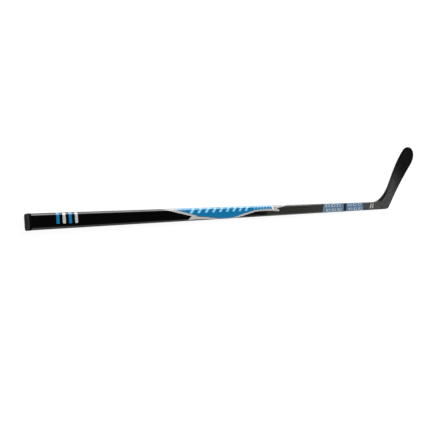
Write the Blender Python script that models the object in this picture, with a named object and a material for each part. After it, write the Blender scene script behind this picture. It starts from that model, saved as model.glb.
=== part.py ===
"""Ice hockey stick: a hollow carbon shaft, a foam-core blade fused to it and a removable end plug.

Stick axes, before the root empty centres the whole stick over the world origin:
X runs down the shaft from the butt to the heel, Y is the way the blade rises, and Z points
out of the forehand face. The stick lies on its backhand side. All lengths are in metres.
"""
import math

import bmesh
import bpy
import numpy as np

# Shaft
SHAFT_WIDTH = 0.030
SHAFT_DEPTH = 0.020
CORNER_RADIUS = 0.0045
WRAP_WALL = 0.0006
TUBE_WALL = 0.0015
FIT_GAP = 0.0003
STICK_LENGTH = 1.517  # from the reference plane to the corner where shaft and blade lines meet
INNER_RADIUS = 0.001  # least corner radius of any inner section
EASE = 0.0004  # small chamfers on rims

# Joint between shaft and blade
WRAP_END = 1.268
TUBE_END = 1.280
FUSE_WRAP_END = 1.296
TENON_LENGTH = 0.060
TENON_WALL = 0.0018
GLUE_WALL = 0.0005
GLUE_SHORT_START = 0.004  # the adhesive stops short of the tenon's tip and of its shoulder
GLUE_SHORT_END = 0.002

# Blade outline, in the plane of the shaft's wide face
LIE_ANGLE = math.radians(45)  # from the shaft's line to the blade's bottom line
BLADE_LENGTH = 0.3265
HEEL_HEIGHT = 0.0535
TOE_HEIGHT = 0.0749
HEIGHT_RAMP = (0.062, 0.297)  # where the blade grows from heel height to toe height
ROCKER = 0.0112
ROCKER_LOW = 0.42  # lowest point of the rockered bottom edge, as a share of the length
TOE_TIP = 0.0425  # height of the toe's foremost point
TOE_TOP_REACH = 0.0373
TOE_BOTTOM_REACH = 0.061
HEEL_RADIUS = 0.0223
NECK_RADIUS = 0.245

# Blade thickness and curve
BLADE_THICK_HEEL = 0.009
BLADE_THICK_TOE = 0.005
TAPER_START = 1.300
TAPER_LENGTH = 0.150
EDGE_RADIUS = 0.0022
HEEL_SET_BACK = 0.0045  # the blade sits behind the shaft's middle plane
CURVE_DEPTH = 0.0449
CURVE_POWER = 2.12
CURVE_START = 0.024
FACE_OPENING = 0.0076
OPENING_PIVOT = 0.036

# Blade structure
SHELL_WALL = 0.0012
RAIL_WIDTH = 0.004
BRIDGE_WIDTH = 0.003
HEEL_BLOCK_END = math.radians(38)
TOE_INSERT_LENGTH = 0.034

# End plug
HEAD_START = -0.0007  # the butt face, just before the reference plane
HEAD_END = 0.004
HEAD_PROUD = 0.0004
HEAD_EDGE = 0.0012
BOSS_LENGTH = 0.0035
STEM_LENGTH = 0.050
STEM_WALL = 0.0025
STEM_LEAD = 0.001
RECESS_MARGIN = 0.0045
RECESS_DEPTH = 0.0006
SLEEVE_RADIUS = 0.0015
SLEEVE_SHORT = 0.004

# Transfer films of the printed graphics, on the flat of the forehand side
FILM_WALL = 0.00015
FILM_EDGE = 0.0103  # half of the flat that the films cover
BUTT_MARK = (0.050, 0.093)  # a plain rectangle, for the row of bars near the butt
BUTT_MARK_LOW = -0.006
LOWER_BAND = (0.980, 1.2675)
HEEL_MARK = (1.318, 1.366)
HEEL_MARK_SLANT = 0.012
HEEL_MARK_HALF = 0.0085

CORNER_STEPS = 5
TUBE_RINGS = 8
RIBS_HOSEL = 6
RIBS_NECK = 14
RIBS_BLADE = 13
RIBS_TOE = 12
ROUND_STEPS = 4
FACE_STEPS = 4


def clear_scene():
    for obj in list(bpy.data.objects):
        bpy.data.objects.remove(obj, do_unlink=True)


def make_collection(name):
    collection = bpy.data.collections.new(name)
    bpy.context.scene.collection.children.link(collection)
    return collection


def make_material(name, colour, roughness, metallic=0.0):
    material = bpy.data.materials.new(name)
    material.use_nodes = True
    shader = material.node_tree.nodes["Principled BSDF"]
    shader.inputs["Base Color"].default_value = (*colour, 1.0)
    shader.inputs["Roughness"].default_value = roughness
    shader.inputs["Metallic"].default_value = metallic
    return material


def make_empty(name, collection, location, parent=None):
    empty = bpy.data.objects.new(name, None)
    empty.location = location
    empty.parent = parent
    collection.objects.link(empty)
    return empty


def add_object(name, mesh, collection, parent, material, location=(0, 0, 0), rotation=(0, 0, 0)):
    mesh.shade_smooth()
    mesh.set_sharp_from_angle(angle=math.radians(40))
    mesh.materials.append(material)
    obj = bpy.data.objects.new(name, mesh)
    obj.parent = parent
    obj.location = location
    obj.rotation_euler = rotation
    collection.objects.link(obj)
    return obj


def smooth_step(value):
    t = np.clip(value, 0.0, 1.0)
    return t * t * (3 - 2 * t)


def rounded_rectangle(half_width, half_depth, radius, steps=CORNER_STEPS):
    """Points of a rounded rectangle, counter-clockwise from its right-hand side."""
    points = []
    for quarter, (side_x, side_y) in enumerate(((1, 1), (-1, 1), (-1, -1), (1, -1))):
        centre = (side_x * (half_width - radius), side_y * (half_depth - radius))
        for step in range(steps + 1):
            angle = (quarter + step / steps) * math.pi / 2
            points.append((centre[0] + radius * math.cos(angle), centre[1] + radius * math.sin(angle)))
    return points


def straight_tube(name, outline, bore, start, end, collection, parent, material):
    """A constant hollow section run along X: an extruded flat curve with a bore."""
    curve = bpy.data.curves.new(name + "_outline", "CURVE")
    curve.dimensions = "2D"
    curve.fill_mode = "BOTH"
    curve.extrude = (end - start) / 2
    for points in (outline, bore):
        spline = curve.splines.new("POLY")
        spline.points.add(len(points) - 1)
        spline.use_cyclic_u = True
        for target, (across, up) in zip(spline.points, points):
            target.co = (across, up, 0, 1)
    guide = bpy.data.objects.new(name + "_guide", curve)
    collection.objects.link(guide)
    bpy.context.view_layer.update()
    evaluated = guide.evaluated_get(bpy.context.evaluated_depsgraph_get())
    mesh = bpy.data.meshes.new_from_object(evaluated)
    bpy.data.objects.remove(guide, do_unlink=True)
    body = bmesh.new()
    body.from_mesh(mesh)
    bmesh.ops.remove_doubles(body, verts=body.verts, dist=1e-6)
    for ring in range(1, TUBE_RINGS):
        height = (end - start) * (ring / TUBE_RINGS - 0.5)
        geometry = [*body.verts, *body.edges, *body.faces]
        bmesh.ops.bisect_plane(body, geom=geometry, plane_co=(0, 0, height), plane_no=(0, 0, 1))
    bmesh.ops.recalc_face_normals(body, faces=body.faces)
    body.to_mesh(mesh)
    body.free()
    # the outline's plane turns to face along X, with its width along Y and its depth along Z
    return add_object(name, mesh, collection, parent, material, location=((start + end) / 2, 0, 0),
                      rotation=(math.pi / 2, 0, math.pi / 2))


def skin_rings(rings, caps=(True, True), closed_loop=False):
    """A closed mesh skinned over rings of equally many points. Coincident points are welded."""
    body = bmesh.new()
    rows = [[body.verts.new(point) for point in ring] for ring in rings]
    pairs = list(zip(rows, rows[1:]))
    if closed_loop:
        pairs.append((rows[-1], rows[0]))
    for row, following in pairs:
        for here in range(len(row)):
            after = (here + 1) % len(row)
            body.faces.new((row[here], row[after], following[after], following[here]))
    if caps[0]:
        body.faces.new(reversed(rows[0]))
    if caps[1]:
        body.faces.new(rows[-1])
    bmesh.ops.remove_doubles(body, verts=body.verts, dist=1e-6)
    bmesh.ops.dissolve_degenerate(body, edges=body.edges, dist=1e-7)
    bmesh.ops.recalc_face_normals(body, faces=body.faces)
    mesh = bpy.data.meshes.new("skin")
    body.to_mesh(mesh)
    body.free()
    return mesh


def section_ring(x, half_width, half_depth, radius):
    """A rounded-rectangle section standing across the shaft at x."""
    return [(x, across, up) for across, up in rounded_rectangle(half_width, half_depth, radius)]


class BladePlan:
    """The blade and hosel as cross ribs: outline points on the bottom and top side of each rib."""

    def __init__(self):
        self.along = np.array([math.cos(LIE_ANGLE), math.sin(LIE_ANGLE)])
        self.across = np.array([-math.sin(LIE_ANGLE), math.cos(LIE_ANGLE)])
        self.half = SHAFT_WIDTH / 2
        self.heel = np.array([STICK_LENGTH, -self.half])
        meeting = (SHAFT_WIDTH - HEEL_HEIGHT * self.across[1]) / self.along[1]
        tangent = NECK_RADIUS * math.tan(LIE_ANGLE / 2)
        corner = self.heel + meeting * self.along + HEEL_HEIGHT * self.across
        self.neck_start = corner[0] - tangent
        self.neck_end = meeting + tangent
        self.neck_centre = np.array([self.neck_start, self.half + NECK_RADIUS])
        self.heel_tangent = HEEL_RADIUS * math.tan(LIE_ANGLE / 2)
        self.heel_centre = self.heel + np.array([-self.heel_tangent, HEEL_RADIUS])
        self.bottom, self.top, self.path = self.lay_ribs()
        self.bottom_inward = self.inward_normals(self.bottom, -1)
        self.top_inward = self.inward_normals(self.top, 1)

    def bottom_height(self, reach):
        low = ROCKER_LOW * BLADE_LENGTH
        span = BLADE_LENGTH - low
        return ROCKER * (((reach - low) / span) ** 2 - (low / span) ** 2)

    def top_height(self, reach):
        ramp = (reach - HEIGHT_RAMP[0]) / (HEIGHT_RAMP[1] - HEIGHT_RAMP[0])
        return HEEL_HEIGHT + (TOE_HEIGHT - HEEL_HEIGHT) * smooth_step(ramp)

    def toe_height(self, reach, height, span):
        """A side's height at a reach, rounded into the toe's tip over the last span."""
        start = BLADE_LENGTH - span
        if reach <= start:
            return height(reach)
        share = min((reach - start) / span, 1.0)
        return TOE_TIP + (height(start) - TOE_TIP) * math.sqrt(1 - share * share)

    def at(self, reach, height):
        return self.heel + reach * self.along + height * self.across

    def heel_side(self, direction):
        """Where a ray from the neck's centre leaves the outline: shaft line, heel round or blade."""
        point = self.neck_centre + direction * (NECK_RADIUS + SHAFT_WIDTH) / -direction[1]
        if point[0] <= self.heel_centre[0]:
            return point
        offset = self.neck_centre - self.heel_centre
        along = offset @ direction
        inside = along * along - offset @ offset + HEEL_RADIUS ** 2
        if inside > 0:
            point = self.neck_centre + direction * (math.sqrt(inside) - along)
            if (point - self.heel) @ self.along <= self.heel_tangent:
                return point
        low, high = 0.0, BLADE_LENGTH / 2
        for _ in range(50):
            reach = (low + high) / 2
            ray = self.at(reach, self.bottom_height(reach)) - self.neck_centre
            if direction[0] * ray[1] - direction[1] * ray[0] > 0:
                high = reach
            else:
                low = reach
        return self.at(low, self.bottom_height(low))

    def lay_ribs(self):
        bottom, top, path = [], [], []
        middle_radius = NECK_RADIUS + self.half
        for x in np.linspace(FUSE_WRAP_END + FIT_GAP, self.neck_start, RIBS_HOSEL, endpoint=False):
            bottom.append((x, -self.half))
            top.append((x, self.half))
            path.append(x)
        for turn in np.linspace(0, LIE_ANGLE, RIBS_NECK, endpoint=False):
            direction = np.array([math.sin(turn), -math.cos(turn)])
            bottom.append(self.heel_side(direction))
            top.append(self.neck_centre + NECK_RADIUS * direction)
            path.append(self.neck_start + middle_radius * turn)
        toe_start = BLADE_LENGTH - TOE_BOTTOM_REACH
        reaches = [*np.linspace(self.neck_end, toe_start, RIBS_BLADE, endpoint=False)]
        for step in range(RIBS_TOE):
            reaches.append(toe_start + TOE_BOTTOM_REACH * math.sin(step / (RIBS_TOE - 1) * math.pi / 2))
        blade_path = self.neck_start + middle_radius * LIE_ANGLE - self.neck_end
        for reach in reaches:
            bottom.append(self.at(reach, self.toe_height(reach, self.bottom_height, TOE_BOTTOM_REACH)))
            top.append(self.at(reach, self.toe_height(reach, self.top_height, TOE_TOP_REACH)))
            path.append(blade_path + reach)
        return np.array(bottom), np.array(top), np.array(path)

    def inward_normals(self, side, turn):
        """Unit normals pointing into the blade, from the outline's own direction."""
        tangent = np.gradient(side, axis=0)
        tangent[-1] = -turn * self.across
        tangent /= np.linalg.norm(tangent, axis=1)[:, None]
        return turn * np.column_stack([tangent[:, 1], -tangent[:, 0]])

    def thickness(self, place):
        """Thickness at a distance along the stick's middle line."""
        hosel = smooth_step((place - TAPER_START) / TAPER_LENGTH)
        blade_start = TAPER_START + TAPER_LENGTH
        share = np.clip((place - blade_start) / (self.path[-1] - blade_start), 0, 1)
        taper = (BLADE_THICK_HEEL - SHAFT_DEPTH) * hosel
        return SHAFT_DEPTH + taper + (BLADE_THICK_TOE - BLADE_THICK_HEEL) * share

    def set_back(self, place):
        return HEEL_SET_BACK * smooth_step((place - TAPER_START) / (1.2 * TAPER_LENGTH))

    def edge_radius(self, rib):
        share = smooth_step((self.path[rib] - TAPER_START) / TAPER_LENGTH)
        return CORNER_RADIUS + (EDGE_RADIUS - CORNER_RADIUS) * share

    def middle_height(self, point, rib):
        """Height of the blade's middle surface: set back at the heel, then curved and opened."""
        reach, height = (point - self.heel) @ self.along, (point - self.heel) @ self.across
        share = max((reach - CURVE_START) / (BLADE_LENGTH - CURVE_START), 0.0)
        curve = CURVE_DEPTH * share ** CURVE_POWER
        opening = FACE_OPENING * share * (height - OPENING_PIVOT) / OPENING_PIVOT
        return curve - opening - self.set_back(self.path[rib])

    def inset(self, rib, distance):
        bottom = self.bottom[rib] + distance * self.bottom_inward[rib]
        top = self.top[rib] + distance * self.top_inward[rib]
        return bottom, top

    def place(self, point, rib, lift):
        return (point[0] - self.heel[0], point[1] - self.heel[1], self.middle_height(point, rib) + lift)

    def half_section(self, rib, inset, side):
        """The front (side 1) or back (side -1) half of the section, from bottom edge to top edge."""
        depth = self.thickness(self.path[rib]) / 2 - inset
        radius = min(max(self.edge_radius(rib) - inset, EASE), depth - FIT_GAP)
        turns = [step / ROUND_STEPS * math.pi / 2 for step in range(ROUND_STEPS + 1)]
        edge = [(0.0, FIT_GAP / 2)]
        edge += [(radius * (1 - math.cos(turn)), depth - radius * (1 - math.sin(turn))) for turn in turns]
        points = []
        for into, lift in edge:
            points.append((self.inset(rib, inset + into)[0], lift))
        lower, upper = self.inset(rib, inset + radius)
        for step in range(1, FACE_STEPS):
            points.append((lower + (upper - lower) * step / FACE_STEPS, depth))
        for into, lift in reversed(edge):
            points.append((self.inset(rib, inset + into)[1], lift))
        return [self.place(point, rib, side * lift) for point, lift in points]

    def bar_section(self, rib, start, end):
        """A filled section between two places across a rib, each a (share, distance) pair."""
        inset = SHELL_WALL + FIT_GAP
        lower, upper = self.inset(rib, inset)
        width = np.linalg.norm(upper - lower)
        depth = self.thickness(self.path[rib]) / 2 - inset
        first = start[0] * width + start[1]
        last = end[0] * width + end[1]
        chamfer = min(0.6 * max(self.edge_radius(rib) - SHELL_WALL, 0), 0.4 * depth)
        near = chamfer if start == (0, 0) else 0.0
        far = chamfer if end == (1, 0) else 0.0
        corners = [(first, depth - near), (first + near, depth), (last - far, depth), (last, depth - far)]
        corners += [(place, -lift) for place, lift in reversed(corners)]
        direction = (upper - lower) / max(width, 1e-9)
        return [self.place(lower + direction * place, rib, lift) for place, lift in corners]


def blade_shell(name, plan, side, collection, parent, material):
    """Half of the moulded skin: outer face, inner face and the parting line along the edge."""
    rings = []
    for rib in range(len(plan.path)):
        outer = plan.half_section(rib, 0.0, side)
        inner = plan.half_section(rib, SHELL_WALL, side)
        rings.append(outer + inner[::-1])
    mesh = skin_rings(rings, caps=(True, False))
    return add_object(name, mesh, collection, parent, material)


def blade_bar(name, plan, ribs, start, end, collection, parent, material, to_tip=False):
    """A piece inside the skins, between two places across each of its ribs."""
    rings = [plan.bar_section(rib, start, end) for rib in ribs]
    mesh = skin_rings(rings, caps=(True, not to_tip))
    return add_object(name, mesh, collection, parent, material)


def build_shaft(collection, parent):
    half_width, half_depth = SHAFT_WIDTH / 2, SHAFT_DEPTH / 2
    start = HEAD_END + FIT_GAP

    def layer(depth_in):
        radius = max(CORNER_RADIUS - depth_in, INNER_RADIUS)
        return rounded_rectangle(half_width - depth_in, half_depth - depth_in, radius)

    tube_outside = WRAP_WALL + FIT_GAP
    tube_inside = tube_outside + TUBE_WALL
    glue_outside = tube_inside + FIT_GAP
    wrap = make_material("woven_carbon", (0.012, 0.012, 0.013), 0.22)
    straight_tube("shaft_outer_wrap", layer(0), layer(WRAP_WALL), start, WRAP_END - FIT_GAP / 2,
                  collection, parent, wrap)
    tube = make_material("unidirectional_carbon", (0.030, 0.030, 0.032), 0.45)
    straight_tube("shaft_inner_tube", layer(tube_outside), layer(tube_inside), start, TUBE_END,
                  collection, parent, tube)
    fuse = make_material("fuse_wrap_carbon", (0.085, 0.085, 0.090), 0.35)
    straight_tube("fuse_wrap", layer(0), layer(WRAP_WALL), WRAP_END + FIT_GAP / 2, FUSE_WRAP_END,
                  collection, parent, fuse)
    glue = make_material("tenon_epoxy", (0.62, 0.52, 0.26), 0.5)
    straight_tube("tenon_glue_film", layer(glue_outside), layer(glue_outside + GLUE_WALL),
                  TUBE_END - TENON_LENGTH + GLUE_SHORT_START, TUBE_END - GLUE_SHORT_END,
                  collection, parent, glue)


def build_hosel(plan, collection, parent):
    """The blade's hosel: a hollow tenon, a shoulder under the fuse wrap, and a root in the skins."""
    half_width, half_depth = SHAFT_WIDTH / 2, SHAFT_DEPTH / 2
    tenon_in = WRAP_WALL + TUBE_WALL + GLUE_WALL + 3 * FIT_GAP
    shoulder_in = WRAP_WALL + FIT_GAP
    root_in = SHELL_WALL + FIT_GAP
    root_end = plan.neck_start - FIT_GAP
    bore_width = half_width - tenon_in - TENON_WALL
    bore_depth = half_depth - tenon_in - TENON_WALL

    def ring(x, depth_in, middle=0.0, thin=0.0):
        radius = max(CORNER_RADIUS - depth_in, INNER_RADIUS)
        points = section_ring(x, half_width - depth_in, half_depth - depth_in - thin, radius)
        return [(px, py, pz + middle) for px, py, pz in points]

    rings = [
        ring(TUBE_END - TENON_LENGTH, tenon_in),
        ring(TUBE_END + FIT_GAP, tenon_in),
        ring(TUBE_END + FIT_GAP, shoulder_in),
        ring(FUSE_WRAP_END + FIT_GAP, shoulder_in),
        ring(FUSE_WRAP_END + FIT_GAP, root_in),
    ]
    for rib in range(1, RIBS_HOSEL):
        thin = (SHAFT_DEPTH - plan.thickness(plan.path[rib])) / 2
        middle = plan.middle_height(plan.bottom[rib], rib)
        rings.append(ring(plan.path[rib], root_in, middle, thin))
    end_thin = (SHAFT_DEPTH - plan.thickness(plan.path[RIBS_HOSEL])) / 2
    end_middle = plan.middle_height(plan.bottom[RIBS_HOSEL], RIBS_HOSEL)
    rings.append(ring(root_end, root_in, end_middle, end_thin))

    def bore_ring(x, gap=0.0, middle=0.0):
        points = section_ring(x, bore_width - gap, bore_depth - gap, INNER_RADIUS)
        return [(px, py, pz + middle) for px, py, pz in points]

    rings += [
        bore_ring(root_end, middle=end_middle),
        bore_ring(FUSE_WRAP_END),
        bore_ring(TUBE_END - TENON_LENGTH),
    ]
    mesh = skin_rings(rings, caps=(False, False), closed_loop=True)
    laminate = make_material("hosel_laminate", (0.040, 0.040, 0.042), 0.45)
    add_object("hosel_tenon", mesh, collection, parent, laminate)

    core_rings = [
        bore_ring(TUBE_END - TENON_LENGTH, FIT_GAP),
        bore_ring(FUSE_WRAP_END, FIT_GAP),
        bore_ring(root_end, FIT_GAP, end_middle),
    ]
    foam = make_material("hosel_foam", (0.80, 0.74, 0.52), 0.9)
    add_object("hosel_foam_core", skin_rings(core_rings), collection, parent, foam)


def build_blade(plan, collection, parent):
    skin = make_material("blade_carbon", (0.055, 0.055, 0.058), 0.38)
    back = make_material("blade_carbon_back", (0.050, 0.050, 0.053), 0.38)
    blade_shell("forehand_shell", plan, 1, collection, parent, skin)
    blade_shell("backhand_shell", plan, -1, collection, parent, back)

    rib_count = len(plan.path)
    neck_ribs = range(RIBS_HOSEL, RIBS_HOSEL + RIBS_NECK)
    turns = [LIE_ANGLE * (rib - RIBS_HOSEL) / RIBS_NECK for rib in neck_ribs]
    block_ribs = [rib for rib, turn in zip(neck_ribs, turns) if turn <= HEEL_BLOCK_END]
    insert_path = plan.path[-1] - TOE_INSERT_LENGTH
    insert_ribs = [rib for rib in range(rib_count) if plan.path[rib] >= insert_path]
    bar_ribs = list(range(RIBS_HOSEL, insert_ribs[0]))
    core_ribs = list(range(block_ribs[-1] + 1, insert_ribs[0]))
    rail = make_material("edge_rail_carbon", (0.022, 0.022, 0.023), 0.4)
    bridge = make_material("bridge_carbon", (0.030, 0.030, 0.032), 0.5)
    foam = make_material("blade_foam", (0.86, 0.80, 0.60), 0.9)
    block = make_material("heel_filler", (0.35, 0.26, 0.16), 0.8)
    insert = make_material("toe_filler", (0.30, 0.22, 0.14), 0.8)
    side = RAIL_WIDTH + FIT_GAP
    beside_bridge = BRIDGE_WIDTH / 2 + FIT_GAP
    for name, ribs, start, end, material in (
        ("bottom_edge_rail", bar_ribs, (0, 0), (0, RAIL_WIDTH), rail),
        ("top_edge_rail", bar_ribs, (1, -RAIL_WIDTH), (1, 0), rail),
        ("heel_block", block_ribs, (0, side), (1, -side), block),
        ("lower_foam_core", core_ribs, (0, side), (0.5, -beside_bridge), foam),
        ("bridge_rib", core_ribs, (0.5, -BRIDGE_WIDTH / 2), (0.5, BRIDGE_WIDTH / 2), bridge),
        ("upper_foam_core", core_ribs, (0.5, beside_bridge), (1, -side), foam),
    ):
        blade_bar(name, plan, ribs, start, end, collection, parent, material)
    blade_bar("toe_insert", plan, insert_ribs, (0, 0), (1, 0), collection, parent, insert, to_tip=True)


def build_end_plug(collection, parent):
    """Butt cap with a hollow stem: a path of sections from the recess in the face to the bore."""
    half_width, half_depth = SHAFT_WIDTH / 2, SHAFT_DEPTH / 2
    head = -HEAD_PROUD
    boss = WRAP_WALL + TUBE_WALL + 2 * FIT_GAP
    stem = boss + GLUE_WALL + FIT_GAP
    bore = stem + STEM_WALL
    boss_end = HEAD_END + BOSS_LENGTH
    stem_end = HEAD_END + STEM_LENGTH
    profile = [(HEAD_START + RECESS_DEPTH, RECESS_MARGIN + RECESS_DEPTH), (HEAD_START, RECESS_MARGIN)]
    for step in range(4):
        turn = step / 3 * math.pi / 2
        back, inward = 1 - math.cos(turn), 1 - math.sin(turn)
        profile.append((HEAD_START + HEAD_EDGE * back, head + HEAD_EDGE * inward))
    profile += [
        (HEAD_END - EASE, head),
        (HEAD_END, head + EASE),
        (HEAD_END, boss),
        (boss_end, boss),
        (boss_end, stem),
        (stem_end - STEM_LEAD, stem),
        (stem_end, stem + STEM_LEAD),
        (stem_end, bore),
        (boss_end, bore),
    ]
    rings = []
    for x, inward in profile:
        radius = max(CORNER_RADIUS - inward, INNER_RADIUS)
        rings.append(section_ring(x, half_width - inward, half_depth - inward, radius))
    plastic = make_material("plug_plastic", (0.030, 0.030, 0.031), 0.62)
    add_object("end_plug", skin_rings(rings), collection, parent, plastic)
    glue = make_material("hot_melt_glue", (0.78, 0.70, 0.45), 0.45)

    def glue_outline(depth_in):
        return rounded_rectangle(half_width - depth_in, half_depth - depth_in, SLEEVE_RADIUS)

    straight_tube("plug_glue_sleeve", glue_outline(boss), glue_outline(boss + GLUE_WALL),
                  boss_end + FIT_GAP, stem_end - SLEEVE_SHORT, collection, parent, glue)


def film_plate(name, outline, collection, parent, material):
    """A thin flat film over part of the shaft's front face: an extruded 2D curve."""
    curve = bpy.data.curves.new(name, "CURVE")
    curve.dimensions = "2D"
    curve.fill_mode = "BOTH"
    curve.extrude = FILM_WALL / 2
    spline = curve.splines.new("POLY")
    spline.points.add(len(outline) - 1)
    spline.use_cyclic_u = True
    for target, (x, y) in zip(spline.points, outline):
        target.co = (x, y, 0, 1)
    curve.materials.append(material)
    film = bpy.data.objects.new(name, curve)
    film.parent = parent
    film.location = (0, 0, SHAFT_DEPTH / 2 + FIT_GAP + FILM_WALL / 2)
    collection.objects.link(film)


def build_films(plan, collection, parent):
    blue = make_material("blue_film", (0.012, 0.130, 0.350), 0.25)
    silver = make_material("silver_film", (0.60, 0.60, 0.58), 0.3, 0.6)
    steel_blue = make_material("steel_blue_film", (0.17, 0.28, 0.42), 0.3)
    edge = FILM_EDGE
    start, end = BUTT_MARK
    film_plate("butt_mark_film", [(start, edge), (start, BUTT_MARK_LOW), (end, BUTT_MARK_LOW), (end, edge)],
               collection, parent, blue)
    film_plate("mid_panel_film", [(0.320, edge), (0.395, -0.0045), (0.470, -edge), (0.556, -edge),
                                  (0.632, 0.0015), (0.690, 0.0055), (0.700, edge)],
               collection, parent, blue)
    film_plate("rear_stripe_film", [(0.296, edge), (0.384, -0.0065), (0.378, -edge), (0.462, -edge),
                                    (0.394, -0.0052), (0.313, edge)],
               collection, parent, silver)
    film_plate("front_stripe_film", [(0.564, -edge), (0.634, -0.0012), (0.692, 0.0028), (0.745, 0.0015),
                                     (0.748, 0.0045), (0.790, edge), (0.706, edge), (0.694, 0.0050),
                                     (0.636, 0.0010)],
               collection, parent, silver)
    start, end = LOWER_BAND
    film_plate("lower_band_film", [(start + 0.008, edge), (start, -edge), (end, -edge), (end, edge)],
               collection, parent, steel_blue)
    rings = []
    for x in np.linspace(*HEEL_MARK, RIBS_HOSEL):
        lift = plan.thickness(x) / 2 - plan.set_back(x) + FIT_GAP
        corners = ((-HEEL_MARK_HALF, 0), (HEEL_MARK_HALF, 0), (HEEL_MARK_HALF, FILM_WALL),
                   (-HEEL_MARK_HALF, FILM_WALL))
        rings.append([(x + HEEL_MARK_SLANT * y / SHAFT_WIDTH, y, lift + rise) for y, rise in corners])
    add_object("heel_mark_film", skin_rings(rings), collection, parent, silver)


def stick_box(plan):
    """Lowest and highest corner of the whole stick, in stick axes."""
    head_width = SHAFT_WIDTH / 2 + HEAD_PROUD
    head_depth = SHAFT_DEPTH / 2 + HEAD_PROUD
    outline = np.vstack([plan.bottom, plan.top])
    highest = 0.0
    for rib in range(len(plan.path)):
        section = plan.half_section(rib, 0.0, 1)
        highest = max(highest, max(point[2] for point in section))
    low = (HEAD_START, min(-head_width, outline[:, 1].min()), -head_depth)
    high = (outline[:, 0].max(), outline[:, 1].max(), highest)
    return low, high


def main():
    clear_scene()
    collection = make_collection("ice_hockey_stick")
    plan = BladePlan()
    low, high = stick_box(plan)
    centre = (-(low[0] + high[0]) / 2, -(low[1] + high[1]) / 2, -low[2])
    frame = make_empty("stick_frame", collection, centre)
    heel = make_empty("heel_frame", collection, (*plan.heel, 0), frame)
    plug_axis = make_empty("plug_axis", collection, (0, 0, 0), frame)
    build_shaft(collection, frame)
    build_hosel(plan, collection, frame)
    build_blade(plan, collection, heel)
    build_end_plug(collection, plug_axis)
    build_films(plan, collection, frame)


main()
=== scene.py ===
"""Looks of the ice hockey stick.

Lacquered carbon shaft, printed films, bare carbon blade and moulded butt plug. Places come from
the frame's boxes. On the shaft, a place is (x, p): x runs from the butt's reference plane down the
shaft, and p runs round the section from the middle of the forehand face, up towards the blade's
side. Both are in metres, and the outlines of the films are in millimetres.
"""
import math

import bmesh
import bpy
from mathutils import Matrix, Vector
from mathutils.bvhtree import BVHTree
from mathutils.kdtree import KDTree


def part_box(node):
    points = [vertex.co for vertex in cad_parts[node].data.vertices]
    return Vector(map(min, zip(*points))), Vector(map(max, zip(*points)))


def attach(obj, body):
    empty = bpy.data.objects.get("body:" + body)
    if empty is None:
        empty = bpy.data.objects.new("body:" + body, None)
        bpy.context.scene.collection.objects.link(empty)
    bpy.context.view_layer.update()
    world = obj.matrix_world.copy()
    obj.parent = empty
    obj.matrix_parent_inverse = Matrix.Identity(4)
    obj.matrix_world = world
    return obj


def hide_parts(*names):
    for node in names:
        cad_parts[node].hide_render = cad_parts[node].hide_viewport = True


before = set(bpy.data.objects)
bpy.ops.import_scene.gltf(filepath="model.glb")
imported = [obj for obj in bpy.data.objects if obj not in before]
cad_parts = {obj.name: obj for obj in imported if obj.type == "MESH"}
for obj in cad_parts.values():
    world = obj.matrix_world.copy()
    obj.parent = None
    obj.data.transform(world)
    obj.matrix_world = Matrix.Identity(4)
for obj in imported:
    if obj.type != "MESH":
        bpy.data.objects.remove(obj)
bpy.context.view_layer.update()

MM = 0.001

# boxes of the visible nodes, and the point where the shaft's axis meets the butt's reference plane
WRAP_LOW, WRAP_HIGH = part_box("shaft_outer_wrap")
FUSE_LOW, FUSE_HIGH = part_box("fuse_wrap")
PLUG_LOW, PLUG_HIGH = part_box("end_plug")
WRAP_END = 1.26785
AXIS = Vector((WRAP_HIGH.x - WRAP_END, (WRAP_LOW.y + WRAP_HIGH.y) / 2,
               (WRAP_LOW.z + WRAP_HIGH.z) / 2))

# the shaft's section, and values of p round it
HALF_WIDTH = (WRAP_HIGH.y - WRAP_LOW.y) / 2
HALF_DEPTH = (WRAP_HIGH.z - WRAP_LOW.z) / 2
CORNER = 4.5 * MM
WALL = 0.6 * MM
ARC = CORNER * math.pi / 2
FLAT_FRONT = HALF_WIDTH - CORNER
FLAT_SIDE = 2 * (HALF_DEPTH - CORNER)
SIDE_START = FLAT_FRONT + ARC
SIDE_END = SIDE_START + FLAT_SIDE
BACK_START = SIDE_END + ARC
BACK_MIDDLE = BACK_START + FLAT_FRONT

# tubes of the shaft's skin: easing of the rims, points round a corner, rings along the length
RIM_EASE = 0.15 * MM
CORNER_STEPS = 12
TUBE_STEPS = 24

# the corner where the bottom lines of shaft and blade meet, and the angle between them
STICK_LENGTH = 1.517
HEEL = Vector((AXIS.x + STICK_LENGTH, AXIS.y - HALF_WIDTH, AXIS.z))
LIE = math.radians(45)

# carbon tow widths
SHAFT_TOW = 2.0 * MM
BLADE_TOW = 2.2 * MM

# where painted reflection lightens the black paint of the shaft, where the bare weave starts, and where
# painted reflection turns the weave lighter further down
BLACK_PAINTED_SHEEN = (0.54, 0.62)
BARE_START = (0.662, 0.688)
BARE_PAINTED_SHEEN = (0.82, 0.95)

# where the tones of the bare carbon change, for the heel-to-toe fade with its painted reflection and for
# the painted shade round the edges: reach along the blade's bottom line from the heel, height above that
# line, and distance in from the outline
BLADE_FADE_AND_SHEEN = (0.05, 0.23)
# masks of the painted shade on the edges of the neck and the blade
NECK_BEGINS = (-0.05, -0.02)
NECK_HEIGHT = (0.03, 0.06)
NECK_ENDS = (0.04, 0.12)
EDGE_BEGINS = (0.01, 0.09)
EDGE_DARKENS = (0.17, 0.26)
RIM_FADES = (4.0 * MM, 11.0 * MM)

# printed films: thickness, height over the skin, height added by each layer, cuts round a corner
FILM_THICKNESS = 0.04 * MM
FILM_LIFT = 0.05 * MM
FILM_LAYER = 1.2 * FILM_THICKNESS
FILM_CORNER_CUTS = 10

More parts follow.
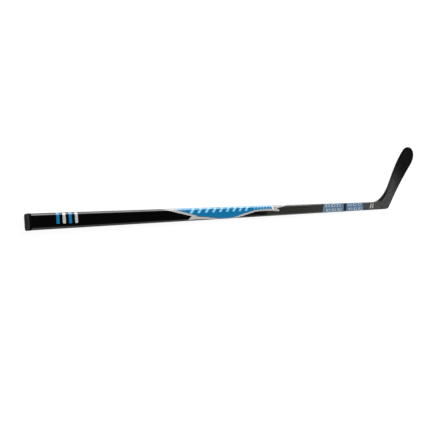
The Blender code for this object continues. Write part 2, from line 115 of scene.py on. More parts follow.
# blade skins: least weld distance, levels of subdivision, angles between faces
WELD = 1e-6
FINE_LEVELS = 2
FLAT_PAIR = math.radians(30)
QUAD_SHAPE = math.radians(60)
CREASE_ANGLE = math.radians(50)
CREASE = 0.9
SHARP_BLADE = math.radians(40)
SHARP_PIECE = math.radians(35)

# the two bars on the hosel, in mm, and the number of cuts that let them follow the skin
HEEL_BARS = (1334, 1356)
HEEL_BAR_SIZE = (12, 19)
HEEL_BAR_ROWS = 8
HEEL_BAR_CUTS = range(1310, 1374, 4)


# ---------------------------------------------------------------- shader nodes

class Nodes:
    """A node tree, with short calls for the nodes used here."""

    def __init__(self, owner):
        owner.use_nodes = True
        self.tree = owner.node_tree

    def node(self, kind, **inputs):
        made = self.tree.nodes.new(kind)
        for name, value in inputs.items():
            self.plug(made.inputs[name.replace("_", " ")], value)
        return made

    def plug(self, socket, value):
        if isinstance(value, bpy.types.NodeSocket):
            self.tree.links.new(value, socket)
        elif value is not None:
            socket.default_value = value

    def math(self, operation, first, second=None):
        made = self.tree.nodes.new("ShaderNodeMath")
        made.operation = operation
        for socket, value in zip(made.inputs, (first, second)):
            self.plug(socket, value)
        return made.outputs[0]

    def mix(self, share, first, second):
        made = self.tree.nodes.new("ShaderNodeMix")
        made.data_type = "RGBA"
        self.plug(made.inputs["Factor"], share)
        for name, value in (("A", first), ("B", second)):
            socket = [s for s in made.inputs if s.name == name and s.type == "RGBA"][0]
            self.plug(socket, value if isinstance(value, bpy.types.NodeSocket) else (*value, 1.0))
        return [s for s in made.outputs if s.type == "RGBA"][0]

    def span(self, value, low, high, to_low=0.0, to_high=1.0):
        """value mapped smoothly from low..high to to_low..to_high, held at the ends."""
        made = self.tree.nodes.new("ShaderNodeMapRange")
        made.interpolation_type = "SMOOTHSTEP"
        for socket, number in zip(made.inputs[:5], (value, low, high, to_low, to_high)):
            self.plug(socket, number)
        return made.outputs[0]

    def split(self, vector):
        return self.node("ShaderNodeSeparateXYZ", Vector=vector).outputs

    def join(self, x, y, z):
        return self.node("ShaderNodeCombineXYZ", X=x, Y=y, Z=z).outputs[0]

    def noise(self, vector, scale, detail=2.0):
        return self.node("ShaderNodeTexNoise", Vector=vector, Scale=scale, Detail=detail,
                         Roughness=0.5).outputs[0]


class Shader(Nodes):
    """A material with a Principled surface."""

    def __init__(self, name, colour, roughness, metallic=0.0, coat=0.0, coat_roughness=0.05):
        """A full coat takes over the gloss, so the surface under it gets no reflection of its own."""
        self.material = bpy.data.materials.new(name)
        super().__init__(self.material)
        self.surface = self.tree.nodes["Principled BSDF"]
        self.set("Base Color", (*colour, 1.0))
        self.set("Roughness", roughness)
        self.set("Metallic", metallic)
        self.set("Coat Weight", coat)
        self.set("Coat Roughness", coat_roughness)
        self.set("Specular IOR Level", 0.5 if coat < 1.0 else 0.0)

    def set(self, socket, value):
        self.surface.inputs[socket].default_value = value

    def place(self):
        return self.tree.nodes.new("ShaderNodeTexCoord").outputs["Object"]

    def cloth(self):
        """The (x, p) place on the shaft, in metres."""
        made = self.tree.nodes.new("ShaderNodeUVMap")
        made.uv_map = "cloth"
        return made.outputs[0]

    def attribute(self, name):
        made = self.tree.nodes.new("ShaderNodeAttribute")
        made.attribute_name = name
        return made.outputs["Fac"]

    def bump(self, height, distance, strength=1.0):
        made = self.node("ShaderNodeBump", Height=height, Distance=distance, Strength=strength)
        self.plug(self.surface.inputs["Normal"], made.outputs[0])

    def colour(self, value):
        self.plug(self.surface.inputs["Base Color"], value)

    def rough(self, value):
        self.plug(self.surface.inputs["Roughness"], value)


def twill(shader, vector, tow):
    """Two-by-two twill: (which tow is on top, its crown), both 0..1."""
    across, along, _ = shader.split(vector)
    u = shader.math("DIVIDE", across, tow)
    v = shader.math("DIVIDE", along, tow)
    step = shader.math("ADD", shader.math("FLOOR", u), shader.math("FLOOR", v))
    warp = shader.math("LESS_THAN", shader.math("FLOORED_MODULO", step, 4.0), 1.5)

    def crown(value):
        """Height across one tow: 1 in its middle, 0 at its edges."""
        centred = shader.math("SUBTRACT", shader.math("FRACT", value), 0.5)
        square = shader.math("POWER", shader.math("ABSOLUTE", centred), 2.0)
        return shader.math("SUBTRACT", 1.0, shader.math("MULTIPLY", square, 4.0))

    over = shader.math("MULTIPLY", crown(u), warp)
    under = shader.math("MULTIPLY", crown(v), shader.math("SUBTRACT", 1.0, warp))
    return warp, shader.math("ADD", over, under)


def turned(shader, vector, angle):
    """vector's X and Y turned by an angle."""
    x, y, _ = shader.split(vector)
    cos, sin = math.cos(angle), math.sin(angle)
    across = shader.math("ADD", shader.math("MULTIPLY", x, cos), shader.math("MULTIPLY", y, sin))
    along = shader.math("SUBTRACT", shader.math("MULTIPLY", y, cos), shader.math("MULTIPLY", x, sin))
    return shader.join(across, along, 0.0)


# ---------------------------------------------------------------- materials

def lacquered_carbon():
    """Gloss black near the butt, fading to a bare charcoal weave further down, under clear lacquer. Both
    are painted lighter further down the shaft as a painted reflection of the bright studio at grazing
    angles.
    """
    shader = Shader("lacquered_carbon", (0.004, 0.004, 0.004), 0.4, coat=1.0, coat_roughness=0.04)
    cloth = shader.cloth()
    x, _, _ = shader.split(cloth)
    warp, crown = twill(shader, turned(shader, cloth, LIE), SHAFT_TOW)
    near = shader.mix(warp, (0.022, 0.021, 0.019), (0.034, 0.033, 0.029))
    # far tow colours lighter than the near ones: painted reflection
    far_with_sheen = shader.mix(warp, (0.031, 0.030, 0.028), (0.047, 0.046, 0.042))
    tow = shader.mix(shader.span(x, *BARE_PAINTED_SHEEN), near, far_with_sheen)
    painted = shader.mix(warp, (0.0006, 0.0006, 0.0006), (0.0012, 0.0012, 0.0011))
    # black paint lightened further down: painted reflection
    painted = shader.mix(shader.span(x, *BLACK_PAINTED_SHEEN), painted, (0.0050, 0.0048, 0.0045))
    shader.colour(shader.mix(shader.span(x, *BARE_START), painted, tow))
    shader.rough(shader.span(shader.noise(shader.place(), 60.0), 0.3, 0.7, 0.30, 0.42))
    orange_peel = shader.noise(shader.place(), 900.0, 2.0)
    height = shader.math("ADD", shader.math("MULTIPLY", crown, 0.5), orange_peel)
    shader.bump(height, 0.01 * MM, 0.35)
    return shader.material


def bare_carbon():
    """Satin carbon of the hosel and blade: grey at the heel, dark at the toe, partly a fade in the
    carbon and partly painted reflection, with painted shade in black round the rim.
    """
    shader = Shader("bare_carbon", (0.05, 0.05, 0.05), 0.4)
    shader.set("Specular IOR Level", 0.025)
    place = shader.place()
    x, y, z = shader.split(place)
    from_heel = shader.join(shader.math("SUBTRACT", x, HEEL.x), shader.math("SUBTRACT", y, HEEL.y), z)
    reach, height, _ = shader.split(turned(shader, from_heel, LIE))
    # heel-to-toe fade: partly a fade in the carbon, partly painted reflection that lightens the heel
    fade_and_sheen = shader.span(reach, *BLADE_FADE_AND_SHEEN)
    warp, crown = twill(shader, turned(shader, place, LIE), BLADE_TOW)
    stretched = shader.join(shader.math("MULTIPLY", x, 30.0), shader.math("MULTIPLY", y, 260.0), 0.0)
    streak = shader.noise(stretched, 1.0, 3.0)
    heel = shader.mix(warp, (0.068, 0.067, 0.066), (0.094, 0.092, 0.090))
    toe = shader.mix(warp, (0.0062, 0.0062, 0.0060), (0.0100, 0.0100, 0.0096))
    # random streaks, their tone following the fade and its painted reflection
    streak_tone = shader.mix(fade_and_sheen, (0.030, 0.030, 0.030), (0.0045, 0.0045, 0.0045))
    base = shader.mix(shader.math("MULTIPLY", streak, 0.35), shader.mix(fade_and_sheen, heel, toe), streak_tone)
    cloud = shader.span(shader.noise(place, 110.0, 3.0), 0.35, 0.65, 0.0, 0.30)
    base = shader.mix(cloud, base, (0.0, 0.0, 0.0))
    # painted shade: the blade's rim, the neck's inner edge and the bottom edge past the heel are painted
    # black
    rim = shader.span(shader.attribute("rim"), *RIM_FADES, 1.0, 0.0)
    past_hosel = shader.span(reach, *NECK_BEGINS)
    on_neck = shader.math("MULTIPLY", past_hosel, shader.span(height, *NECK_HEIGHT))
    neck = shader.math("MULTIPLY", on_neck, shader.span(reach, *NECK_ENDS, 1.0, 0.0))
    past_heel = shader.span(reach, *EDGE_BEGINS)
    blade = shader.math("MULTIPLY", past_heel, shader.span(reach, *EDGE_DARKENS, 0.35, 1.0))
    black = shader.math("MULTIPLY", rim, shader.math("MAXIMUM", neck, blade))
    shader.colour(shader.mix(black, base, (0.0006, 0.0006, 0.0006)))
    shader.rough(shader.span(shader.noise(place, 45.0, 4.0), 0.3, 0.7, 0.32, 0.42))
    shader.bump(shader.math("ADD", crown, shader.noise(place, 1500.0)), 0.02 * MM, 0.5)
    return shader.material


def film_paint(name, colour, second, scale, metallic=0.0, roughness=0.35, painted_top_side=None):
    """A printed film under lacquer, with fine flake between two close colours.

    painted_top_side is its colour where it turns over the top side: painted light or painted shade
    there.
    """
    shader = Shader(name, colour, roughness, metallic, coat=1.0, coat_roughness=0.04)
    flake = shader.noise(shader.place(), scale, 2.0)
    ink = shader.mix(shader.span(flake, 0.35, 0.65), colour, second)
    # over the top side the ink is painted lighter or darker, as light or shade
    if painted_top_side:
        _, p, _ = shader.split(shader.cloth())
        ink = shader.mix(shader.span(p, 8.0 * MM, 17.0 * MM), ink, painted_top_side)
    shader.colour(ink)
    shader.bump(shader.noise(shader.place(), 900.0), 0.01 * MM, 0.3)
    return shader.material


def moulded_plastic():
    """Black moulded plastic, its end face a lighter, mottled grey."""
    shader = Shader("moulded_plastic", (0.008, 0.008, 0.008), 0.4)
    shader.set("Specular IOR Level", 0.04)
    place = shader.place()
    x, _, _ = shader.split(place)
    grain = shader.noise(place, 1800.0, 3.0)
    end_face_tone = shader.mix(shader.noise(place, 160.0), (0.025, 0.025, 0.025), (0.052, 0.052, 0.051))
    skirt = shader.span(x, PLUG_LOW.x + 0.5 * MM, PLUG_LOW.x + 1.2 * MM)
    shader.colour(shader.mix(skirt, end_face_tone, (0.0008, 0.0008, 0.0008)))
    shader.rough(shader.span(grain, 0.3, 0.7, 0.30, 0.42))
    shader.bump(grain, 0.06 * MM, 0.6)
    return shader.material


def laminate(name, colour):
    """Inner laminate: straight fibres under cured resin."""
    shader = Shader(name, colour, 0.5)
    x, y, z = shader.split(shader.place())
    stretched = shader.join(shader.math("MULTIPLY", x, 8.0), shader.math("MULTIPLY", y, 900.0),
                            shader.math("MULTIPLY", z, 900.0))
    fibres = shader.noise(stretched, 1.0, 3.0)
    dark = tuple(0.6 * c for c in colour)
    light = tuple(1.5 * c for c in colour)
    shader.colour(shader.mix(fibres, dark, light))
    shader.bump(fibres, 0.03 * MM, 0.5)
    return shader.material


def foam(name, colour):
    """Closed-cell foam."""
    shader = Shader(name, colour, 0.9)
    cells = shader.tree.nodes.new("ShaderNodeTexVoronoi")
    shader.plug(cells.inputs["Vector"], shader.place())
    shader.plug(cells.inputs["Scale"], 1400.0)
    dark = tuple(0.7 * c for c in colour)
    shader.colour(shader.mix(shader.span(cells.outputs["Distance"], 0.0, 0.7), colour, dark))
    shader.bump(cells.outputs["Distance"], 0.1 * MM, 0.7)
    return shader.material


def glue(name, colour):
    """Cured adhesive, cloudy and slightly lumpy."""
    shader = Shader(name, colour, 0.4)
    cloud = shader.noise(shader.place(), 220.0, 4.0)
    dark = tuple(0.75 * c for c in colour)
    shader.colour(shader.mix(cloud, dark, colour))
    shader.rough(shader.span(cloud, 0.3, 0.7, 0.3, 0.5))
    shader.bump(cloud, 0.2 * MM, 0.5)
    return shader.material


# ---------------------------------------------------------------- mesh tools

def surface_point(x, p, lift=0.0):
    """The row-frame point of place (x, p) on the shaft, raised by lift."""
    side = 1.0 if p >= 0 else -1.0
    reach = abs(p)
    radius = CORNER + lift
    flat_y, flat_z = HALF_WIDTH - CORNER, HALF_DEPTH - CORNER
    if reach <= FLAT_FRONT:
        y, z = reach, HALF_DEPTH + lift
    elif reach <= SIDE_START:
        turn = (reach - FLAT_FRONT) / CORNER
        y, z = flat_y + radius * math.sin(turn), flat_z + radius * math.cos(turn)
    elif reach <= SIDE_END:
        y, z = HALF_WIDTH + lift, flat_z - (reach - SIDE_START)
    elif reach <= BACK_START:
        turn = (reach - SIDE_END) / CORNER
        y, z = flat_y + radius * math.cos(turn), -flat_z - radius * math.sin(turn)
    else:
        y, z = BACK_MIDDLE - reach, -HALF_DEPTH - lift
    return Vector((AXIS.x + x, AXIS.y + side * y, AXIS.z + z))


def section_normal(point):
    """The outward direction of the shaft's section nearest to a point."""
    y, z = point.y - AXIS.y, point.z - AXIS.z
    out_y = max(abs(y) - (HALF_WIDTH - CORNER), 0.0)
    out_z = max(abs(z) - (HALF_DEPTH - CORNER), 0.0)
    return Vector((0.0, math.copysign(out_y, y), math.copysign(out_z, z))).normalized()


def shade_by_section(mesh):
    """Give faces that follow the shaft its exact normals, so that long faces reflect evenly."""
    normals = [None] * len(mesh.loops)
    for face in mesh.polygons:
        for index in face.loop_indices:
            exact = section_normal(mesh.vertices[mesh.loops[index].vertex_index].co)
            along = exact.dot(face.normal)
            if abs(along) > 0.8:
                normals[index] = exact * math.copysign(1.0, along)
            else:
                normals[index] = face.normal.copy()
    mesh.normals_split_custom_set(normals)


def finish_mesh(name, body, material, cad_body="stick", on_shaft=True):
    """Make the bmesh a piece that rides a body. on_shaft says that it follows the shaft's section."""
    mesh = bpy.data.meshes.new(name)
    body.to_mesh(mesh)
    body.free()
    mesh.shade_smooth()
    if on_shaft:
        shade_by_section(mesh)
    else:
        mesh.set_sharp_from_angle(angle=SHARP_PIECE)
    mesh.materials.append(material)
    piece = bpy.data.objects.new(name, mesh)
    bpy.context.scene.collection.objects.link(piece)
    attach(piece, cad_body)
    return piece


def corner_lines():
    """Values of p at which a film is cut, so that it follows the rounded corners."""
    lines = []
    for start in (FLAT_FRONT, SIDE_END):
        for step in range(FILM_CORNER_CUTS + 1):
            turned_by = ARC * step / FILM_CORNER_CUTS
            lines += [start + turned_by, -start - turned_by]
    return lines


def film(name, outlines, material, layer=0):
    """A thin printed film on the shaft, in one layer or on top of others.

    Outlines are closed lists of (x, p) in mm.
    """
    body = bmesh.new()
    for outline in outlines:
        corners = [body.verts.new((x * MM, p * MM, 0)) for x, p in outline]
        for here, after in zip(corners, corners[1:] + corners[:1]):
            body.edges.new((here, after))
    bmesh.ops.triangle_fill(body, use_beauty=True, edges=body.edges[:])
    for line in corner_lines():
        geometry = [*body.verts, *body.edges, *body.faces]
        bmesh.ops.bisect_plane(body, geom=geometry, dist=1e-7, plane_co=(0, line, 0), plane_no=(0, 1, 0))
    for face in body.faces:
        if face.normal.z < 0:
            face.normal_flip()
    cloth = body.loops.layers.uv.new("cloth")
    for face in body.faces:
        for loop in face.loops:
            loop[cloth].uv = loop.vert.co.xy
    lift = FILM_LIFT + layer * FILM_LAYER
    for vert in body.verts:
        vert.co = surface_point(vert.co.x, vert.co.y, lift)
    bmesh.ops.solidify(body, geom=body.faces[:], thickness=FILM_THICKNESS)
    piece = finish_mesh(name, body, material)
    return piece


def rounded(points, radius, steps=5):
    """An outline with its corners rounded."""
    result = []
    count = len(points)
    for index, corner in enumerate(points):
        here = Vector(corner)
        before = Vector(points[index - 1]) - here
        after = Vector(points[(index + 1) % count]) - here
        angle = before.angle(after)
        reach = min(radius / math.tan(angle / 2), 0.49 * before.length, 0.49 * after.length)
        start, end = here + before.normalized() * reach, here + after.normalized() * reach
        for step in range(steps + 1):
            t = step / steps
            result.append(tuple(start * (1 - t) ** 2 + here * 2 * t * (1 - t) + end * t ** 2))
    return result


def block(x, p, width, height, slant=0.0, radius=0.0):
    """A rectangle centred on (x, p), in mm, its sides leaning by slant and its corners rounded."""
    shape = []
    for side_x, side_p in ((-1, -1), (1, -1), (1, 1), (-1, 1)):
        shape.append((x + side_x * width / 2 + side_p * slant * height / 2,
                      p + side_p * height / 2))
    return rounded(shape, radius) if radius else shape


# ---------------------------------------------------------------- shaft

def section_loop(inset):
    """Points (y, z, p) of the shaft's section, inset from its outside, from the front's middle."""
    places = []
    for start, length in ((0, FLAT_FRONT), (FLAT_FRONT, ARC), (SIDE_START, FLAT_SIDE),
                          (SIDE_END, ARC), (BACK_START, FLAT_FRONT)):
        count = CORNER_STEPS if length == ARC else 2
        places += [start + length * step / count for step in range(count)]
    half = [*places, BACK_MIDDLE]
    loop = half + [-p for p in reversed(half[1:-1])]
    points = []
    for p in loop:
        point = surface_point(0, p, -inset) - AXIS
        points.append((point.y, point.z, p))
    return points


def tube(name, start, end, material):
    """A length of the shaft's skin with its bore, its outer rims eased."""
    body = bmesh.new()
    cloth = body.loops.layers.uv.new("cloth")
    ease = RIM_EASE
    outer = [(start, ease), (start + ease * 0.3, ease * 0.3), (start + ease, 0.0)]
    outer += [(start + (end - start) * step / TUBE_STEPS, 0.0) for step in range(1, TUBE_STEPS)]
    outer += [(end - ease, 0.0), (end - ease * 0.3, ease * 0.3), (end, ease)]
    path = outer + [(end, WALL), (start, WALL)]
    rows = []
    for x, inset in path:
        rows.append([(body.verts.new((AXIS.x + x, AXIS.y + y, AXIS.z + z)), x, p)
                     for y, z, p in section_loop(inset)])
    half = len(rows[0]) // 2 - 1
    for row, following in zip(rows, rows[1:] + rows[:1]):
        for index in range(len(row)):
            after = (index + 1) % len(row)
            ring = (row[index], following[index], following[after], row[after])
            face = body.faces.new([vert for vert, _, _ in ring])
            for loop, (_, x, p) in zip(face.loops, ring):
                on_seam = index > half and p == BACK_MIDDLE
                loop[cloth].uv = (x, p - 2 * BACK_MIDDLE if on_seam else p)
    bmesh.ops.recalc_face_normals(body, faces=body.faces)
    return finish_mesh(name, body, material)


def build_shaft():
    carbon = lacquered_carbon()
    skin = tube("shaft_skin", WRAP_LOW.x - AXIS.x, WRAP_HIGH.x - AXIS.x, carbon)
    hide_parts("shaft_outer_wrap")


# ---------------------------------------------------------------- blade

def refined(node, name, material):
    """A smooth, fine copy of a CAD shell: welded, put back to quads and subdivided."""
    body = bmesh.new()
    body.from_mesh(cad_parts[node].data)
    bmesh.ops.remove_doubles(body, verts=body.verts, dist=WELD)
    bmesh.ops.join_triangles(body, faces=body.faces, cmp_seam=False, cmp_sharp=False, cmp_uvs=False,
                             cmp_vcols=False, cmp_materials=False, angle_face_threshold=FLAT_PAIR,
                             angle_shape_threshold=QUAD_SHAPE)
    crease = body.edges.layers.float.new("crease_edge")
    for edge in body.edges:
        if len(edge.link_faces) == 2 and edge.calc_face_angle() > CREASE_ANGLE:
            edge[crease] = CREASE
    mesh = bpy.data.meshes.new(name)
    body.to_mesh(mesh)
    body.free()
    guide = bpy.data.objects.new(name + "_cage", mesh)
    bpy.context.scene.collection.objects.link(guide)
    smooth = guide.modifiers.new("smooth", "SUBSURF")
    smooth.levels = FINE_LEVELS
    smooth.render_levels = FINE_LEVELS
    bpy.context.view_layer.update()
    evaluated = guide.evaluated_get(bpy.context.evaluated_depsgraph_get())
    fine = bpy.data.meshes.new_from_object(evaluated)
    bpy.data.objects.remove(guide, do_unlink=True)
    fine.name = name
    fine.materials.clear()
    fine.materials.append(material)
    fine.shade_smooth()
    fine.set_sharp_from_angle(angle=SHARP_BLADE)
    piece = bpy.data.objects.new(name, fine)
    bpy.context.scene.collection.objects.link(piece)
    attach(piece, "stick")
    return piece


def mark_rim(pieces):
    """Store each vertex's distance from the blade's outline, measured flat, as the attribute rim."""
    outline = []
    for piece in pieces:
        mesh = piece.data
        for edge in mesh.edges:
            if edge.use_edge_sharp:
                for index in edge.vertices:
                    outline.append(mesh.vertices[index].co)
    tree = KDTree(len(outline))
    for index, point in enumerate(outline):
        tree.insert((point.x, point.y, 0), index)
    tree.balance()
    for piece in pieces:
        mesh = piece.data
        layer = mesh.attributes.new("rim", "FLOAT", "POINT")
        distances = [tree.find((v.co.x, v.co.y, 0))[2] for v in mesh.vertices]
        layer.data.foreach_set("value", distances)


def build_blade():
    carbon = bare_carbon()
    front = refined("forehand_shell", "forehand_skin", carbon)
    back = refined("backhand_shell", "backhand_skin", carbon)
    mark_rim([front, back])
    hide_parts("forehand_shell")
    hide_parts("backhand_shell")
    fuse = tube("fuse_wrap_skin", FUSE_LOW.x - AXIS.x, FUSE_HIGH.x - AXIS.x, carbon)
    layer = fuse.data.attributes.new("rim", "FLOAT", "POINT")
    layer.data.foreach_set("value", [1.0] * len(fuse.data.vertices))
    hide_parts("fuse_wrap")
    return front


# ---------------------------------------------------------------- films

def build_films():
    """The printed graphics, all generic. Gives back the silver ink for the hosel's bars."""
    # the blue turns lighter over the top side: a painted highlight
    blue = film_paint("panel_blue", (0.005, 0.140, 0.315), (0.008, 0.176, 0.385), 1400.0,
                      painted_top_side=(0.16, 0.45, 0.72))
    light = film_paint("light_blue_ink", (0.22, 0.56, 0.80), (0.30, 0.64, 0.86), 1200.0)
    tick_ink = film_paint("middle_blue_ink", (0.11, 0.36, 0.60), (0.15, 0.42, 0.68), 1200.0)
    silver = film_paint("silver_ink", (0.42, 0.42, 0.40), (0.56, 0.56, 0.54), 2200.0, 0.2, 0.4)
    # the stripe's silver turns darker over the top side: painted shade against the lamp's highlight
    stripe = film_paint("stripe_silver", (0.42, 0.42, 0.40), (0.56, 0.56, 0.54), 2200.0, 0.2, 0.4,
                        painted_top_side=(0.20, 0.21, 0.21))
    white = film_paint("white_ink", (0.80, 0.80, 0.78), (0.86, 0.86, 0.85), 1200.0)
    steel = film_paint("steel_blue_ink", (0.108, 0.180, 0.268), (0.134, 0.214, 0.310), 900.0)
    pale = film_paint("pale_blue_ink", (0.30, 0.43, 0.53), (0.37, 0.50, 0.60), 900.0)
    dark = film_paint("dark_ink", (0.012, 0.016, 0.024), (0.020, 0.025, 0.034), 900.0)

    # butt mark: a row of plain upright bars, all alike, turned over the top edge
    bars = [block(53 + 12.3 * step, 10, 6, 32, radius=1.5) for step in range(4)]
    butt = film("butt_mark_blue_bars", bars[0::2], blue)
    film("butt_mark_silver_bars", bars[1::2], silver)

    # middle panel, with a stripe behind it and one ahead
    panel = [(262, 26), (310, 15), (352, 6.2), (397, -4.0), (440, -8.4), (475, -12), (492, -20),
             (535, -20), (548, -11.5), (575, -6.2), (625, 1.6), (664, 3.6), (700, 3.4), (700, 26)]
    panel_film = film("mid_panel_film_skin", [panel], blue)
    rear = [(254, 26), (300, 14.0), (346, 4.2), (386, -4.4), (373, -13.4), (392, -12.6),
            (440, -13.0), (470, -15.2), (484, -14.0), (440, -9.0), (400, -5.8), (406, -5.0),
            (400, -3.4), (354, 7.6), (340, 11.5), (336, 26)]
    rear_film = film("rear_stripe_skin", [rear], stripe, 1)
    ahead = [(516, -18.0), (548, -14.6), (580, -8.6), (625, -0.7), (664, 0.3), (700, -0.3),
             (733, -3.0), (735, 2.0), (722, 5), (775, 14), (810, 26), (700, 26), (700, 5.0),
             (664, 5.2), (625, 3.4), (575, -4.6), (540, -12.0), (520, -15.5)]
    ahead_film = film("front_stripe_skin", [ahead], stripe, 1)
    slash = [(703, 3.0), (709, 3.0), (704, 12), (697, 12)]
    film("panel_slash", [slash], white, 2)

    # slanted bars along the panel, all alike and evenly spaced, turned over its top edge
    bars = [block(392 + 25 * step, 11.5, 9, 18, slant=0.9, radius=1.2) for step in range(9)]
    film("panel_bars", bars, light, 1)
    ticks = [block(622 + 13.2 * step, 9.6, 6.4, 8.4, slant=0.25, radius=0.8) for step in range(6)]
    film("panel_ticks", ticks, tick_ink, 1)

    # lower band, all round the shaft but for a strip down the back, with two rows of rounded
    # blocks on either side of a bar
    around = 44.0
    band = [(974, -around), (974, -12), (987, 14), (987, around), (1267.2, around),
            (1267.2, -around)]
    band_film = film("lower_band_skin", [band], steel)
    pale_blocks, dark_blocks = [], []
    for start in (1008, 1164):
        for step in range(3):
            for row, p in enumerate((7.5, -7.5)):
                x = start + 38 * step + 3 * row
                pale_blocks.append(block(x, p, 27, 8.0, slant=0.2, radius=3.0))
                dark_blocks.append(block(x + 2, p, 12, 3.2, slant=0.2, radius=1.5))
    film("band_pale_blocks", pale_blocks, pale, 1)
    film("band_dark_blocks", dark_blocks, dark, 2)
    film("band_bar", [block(1128, 0, 20, 50, slant=0.25)], dark, 1)

    for piece, node in ((butt, "butt_mark_film"), (panel_film, "mid_panel_film"),
                        (rear_film, "rear_stripe_film"), (ahead_film, "front_stripe_film"),
                        (band_film, "lower_band_film")):
        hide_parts(node)
    return silver


def heel_mark(skin, material):
    """Two slanted bars on the hosel, draped over the forehand skin."""
    tree = BVHTree.FromObject(skin, bpy.context.evaluated_depsgraph_get())
    body = bmesh.new()
    for bar in HEEL_BARS:
        outline = block(bar, 0, *HEEL_BAR_SIZE, slant=0.9, radius=0.8)
        body.faces.new([body.verts.new((x * MM, p * MM, 0)) for x, p in outline])
    low, high = min(p for _, p in outline), max(p for _, p in outline)
    for step in range(1, HEEL_BAR_ROWS):
        geometry = [*body.verts, *body.edges, *body.faces]
        cut = (0, (low + (high - low) * step / HEEL_BAR_ROWS) * MM, 0)
        bmesh.ops.bisect_plane(body, geom=geometry, plane_co=cut, plane_no=(0, 1, 0))
    for x in HEEL_BAR_CUTS:
        geometry = [*body.verts, *body.edges, *body.faces]
        bmesh.ops.bisect_plane(body, geom=geometry, plane_co=(x * MM, 0, 0), plane_no=(1, 0, 0))
    well_above = 0.05
    for vert in body.verts:
        above = Vector((AXIS.x + vert.co.x, AXIS.y + vert.co.y, AXIS.z + well_above))
        hit = tree.ray_cast(above, Vector((0, 0, -1)))[0]
        vert.co = hit + Vector((0, 0, FILM_LIFT))
    bmesh.ops.solidify(body, geom=body.faces[:], thickness=FILM_THICKNESS)
    piece = finish_mesh("heel_mark_skin", body, material, on_shaft=False)
    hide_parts("heel_mark_film")


# ---------------------------------------------------------------- end plug

def loft(body, rows):
    """Close a loop of section rows into a skin. A row is (x, section points)."""
    rings = [[body.verts.new((AXIS.x + x, AXIS.y + y, AXIS.z + z)) for y, z in points]
             for x, points in rows]
    for ring, following in zip(rings, rings[1:]):
        for index in range(len(ring)):
            after = (index + 1) % len(ring)
            body.faces.new((ring[index], following[index], following[after], ring[after]))
    body.faces.new(rings[0])
    body.faces.new(reversed(rings[-1]))
    bmesh.ops.recalc_face_normals(body, faces=body.faces)


def box_loop(half_width, half_depth, corner, steps=10):
    """A rounded rectangle's points, all of them round its corners."""
    points = []
    for quarter, (side_y, side_z) in enumerate(((1, 1), (-1, 1), (-1, -1), (1, -1))):
        for step in range(steps + 1):
            turn = (quarter + step / steps) * math.pi / 2
            points.append((side_y * (half_width - corner) + corner * math.cos(turn),
                           side_z * (half_depth - corner) + corner * math.sin(turn)))
    return points


def dome(body, centre, radius, height):
    """A low round dot standing out of the butt face, towards -X."""
    levels, sides = 5, 16
    turns = [2 * math.pi * side / sides for side in range(sides)]
    rings = []
    for level in range(levels):
        tilt = level / levels * math.pi / 2
        reach, rise = radius * math.cos(tilt), height * math.sin(tilt)
        rings.append([body.verts.new(centre + Vector((-rise, reach * math.cos(turn),
                                                      reach * math.sin(turn)))) for turn in turns])
    for ring, following in zip(rings, rings[1:]):
        for index in range(sides):
            after = (index + 1) % sides
            body.faces.new((ring[index], ring[after], following[after], following[index]))
    body.faces.new(rings[-1])
    body.faces.new(reversed(rings[0]))


def build_plug():
    """The moulded cap: an eased, grooved head with a sunk, dotted face, and a hollow stem."""
    head_length, head_edge, sunk = 4.0 * MM, 1.1 * MM, 0.6 * MM
    dot_pitch, dot_radius, dot_height = 2.4 * MM, 0.75 * MM, 0.45 * MM
    start = PLUG_LOW.x - AXIS.x
    proud = (PLUG_HIGH.y - PLUG_LOW.y) / 2 - HALF_WIDTH
    step_in, stem_in, bore_in = 2.7 * MM, 3.5 * MM, 6.0 * MM
    boss_end, stem_end = 7.5 * MM, 54.0 * MM
    # the sunk face and its rim: share of the sinking, inset
    face_profile = ((1.0, 5.6 * MM), (1.0, 5.1 * MM), (0.45, 4.8 * MM), (0.1, 4.65 * MM),
                    (0.0, 4.4 * MM))
    edge_steps = 6
    # the grooves round the skirt: offset along the stick, depth
    grooves, first_groove, groove_pitch = 3, 1.9 * MM, 0.6 * MM
    groove_profile = ((-0.12 * MM, 0.0), (-0.05 * MM, 0.10 * MM), (0.05 * MM, 0.10 * MM),
                      (0.12 * MM, 0.0))

    def ring(x, inset):
        corner = max(CORNER - inset, 0.8 * MM)
        return x, box_loop(HALF_WIDTH - inset, HALF_DEPTH - inset, corner)

    rows = [ring(start + share * sunk, inset) for share, inset in face_profile]
    for step in range(edge_steps + 1):
        turn = step / edge_steps * math.pi / 2
        rows.append(ring(start + head_edge * (1 - math.cos(turn)),
                         head_edge * (1 - math.sin(turn)) - proud))
    for groove in range(grooves):
        for offset, depth in groove_profile:
            rows.append(ring(first_groove + groove_pitch * groove + offset, depth - proud))
    # the head's back, the boss, the stem and its bore
    rows += [ring(head_length - 0.3 * MM, -proud), ring(head_length - 0.08 * MM, 0.08 * MM - proud),
             ring(head_length, 0.3 * MM - proud), ring(head_length, step_in),
             ring(boss_end - 0.3 * MM, step_in), ring(boss_end, step_in + 0.3 * MM),
             ring(boss_end, stem_in), ring(stem_end - 2 * MM, stem_in),
             ring(stem_end - 0.4 * MM, stem_in + 0.7 * MM), ring(stem_end, stem_in + 1.1 * MM),
             ring(stem_end, bore_in), ring(boss_end, bore_in)]
    body = bmesh.new()
    loft(body, rows)
    for column in range(-3, 4):
        for row in range(-1, 2):
            centre = AXIS + Vector((start + sunk, column * dot_pitch, row * dot_pitch))
            dome(body, centre, dot_radius, dot_height)
    plug = finish_mesh("end_plug_skin", body, moulded_plastic(), "plug", on_shaft=False)
    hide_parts("end_plug")


# ---------------------------------------------------------------- inner nodes

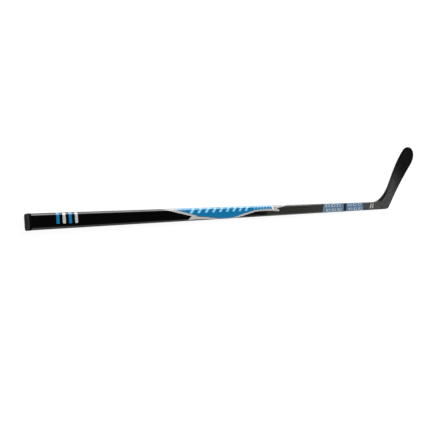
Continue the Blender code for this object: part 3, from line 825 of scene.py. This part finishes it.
def dress_inner_nodes():
    """Materials for the CAD solids that are kept as they are."""
    looks = {
        "shaft_inner_tube": laminate("tube_laminate", (0.030, 0.030, 0.032)),
        "hosel_tenon": laminate("tenon_laminate", (0.040, 0.040, 0.042)),
        "bottom_edge_rail": laminate("rail_laminate", (0.022, 0.022, 0.023)),
        "bridge_rib": laminate("bridge_laminate", (0.030, 0.030, 0.032)),
        "hosel_foam_core": foam("hosel_foam_cells", (0.80, 0.74, 0.52)),
        "lower_foam_core": foam("blade_foam_cells", (0.86, 0.80, 0.60)),
        "heel_block": foam("heel_filler_grain", (0.35, 0.26, 0.16)),
        "toe_insert": foam("toe_filler_grain", (0.30, 0.22, 0.14)),
        "tenon_glue_film": glue("tenon_glue", (0.62, 0.52, 0.26)),
        "plug_glue_sleeve": glue("plug_glue", (0.78, 0.70, 0.45)),
    }
    looks["top_edge_rail"] = looks["bottom_edge_rail"]
    looks["upper_foam_core"] = looks["lower_foam_core"]
    for node, material in looks.items():
        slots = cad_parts[node].data.materials
        slots.clear()
        slots.append(material)


# ---------------------------------------------------------------- studio

CAMERA_LENS = 37.03
CAMERA_PLACE = Vector((-0.324168, -0.027506, 0.787661))  # from the butt end of the shaft's axis
CAMERA_TURN = (5.351, -45.184, -5.845)  # degrees
FLOOR_SIZE = 14.0
FLOOR_SEEN = 0.93  # glow of the floor as the camera sees it


def build_stage():
    """A pale paper floor, which the camera sees as almost white."""
    bpy.ops.mesh.primitive_plane_add(size=FLOOR_SIZE, location=(0.0, 0.0, 0.0))
    floor = bpy.context.object
    floor.name = "floor"
    shader = Shader("floor_paper", (0.50, 0.50, 0.50), 0.9)
    fleck = shader.noise(shader.place(), 40.0, 3.0)
    paper = shader.mix(fleck, (0.495, 0.495, 0.495), (0.505, 0.505, 0.505))
    seen = shader.tree.nodes.new("ShaderNodeLightPath").outputs["Is Camera Ray"]
    shader.colour(shader.mix(seen, paper, (0.10, 0.10, 0.10)))
    shader.set("Emission Color", (1.0, 1.0, 1.0, 1.0))
    glow = shader.math("MULTIPLY", seen, FLOOR_SEEN)
    shader.plug(shader.surface.inputs["Emission Strength"], glow)
    floor.data.materials.append(shader.material)


def build_light():
    """Soft studio: a bright bank on the blade's side, a dimmer one opposite, a dark ceiling.

    The camera itself sees plain white behind the stick.
    """
    world = bpy.data.worlds.new("studio")
    bpy.context.scene.world = world
    sky = Nodes(world)
    x, y, z = sky.split(sky.tree.nodes.new("ShaderNodeTexCoord").outputs["Generated"])
    horizon = sky.span(z, 0.02, 0.32, 0.22, 0.03)
    beyond = sky.span(x, 0.10, 0.35)
    within = sky.span(x, 0.82, 0.87, 1.0, 0.0)
    key_bank = sky.math("MULTIPLY", sky.math("MULTIPLY", sky.span(y, 0.24, 0.33), beyond), within)
    key = sky.math("MULTIPLY", key_bank, sky.span(z, 0.20, 0.60, 3.0, 8.0))
    fill = sky.math("MULTIPLY", sky.math("MULTIPLY", sky.span(y, -0.25, -0.42), beyond), 1.1)
    near = sky.span(x, -0.25, -0.60, 0.0, 0.8)
    total = sky.math("ADD", sky.math("ADD", horizon, near), sky.math("ADD", key, fill))
    seen = sky.tree.nodes.new("ShaderNodeLightPath").outputs["Is Camera Ray"]
    shown = sky.math("ADD", total, sky.math("MULTIPLY", seen, sky.math("SUBTRACT", 1.0, total)))
    sky.plug(sky.tree.nodes["Background"].inputs["Strength"], shown)
    sky.plug(sky.tree.nodes["Background"].inputs["Color"], (1.0, 1.0, 1.0, 1.0))


def build_camera():
    data = bpy.data.cameras.new("camera")
    data.sensor_width = 36.0
    data.lens = CAMERA_LENS
    camera = bpy.data.objects.new("camera", data)
    camera.location = AXIS + CAMERA_PLACE
    camera.rotation_euler = [math.radians(angle) for angle in CAMERA_TURN]
    bpy.context.scene.collection.objects.link(camera)
    bpy.context.scene.camera = camera


build_camera()
build_light()
build_stage()
build_shaft()
forehand = build_blade()
silver_ink = build_films()
heel_mark(forehand, silver_ink)
build_plug()
dress_inner_nodes()
bpy.context.scene.view_settings.view_transform = "Standard"
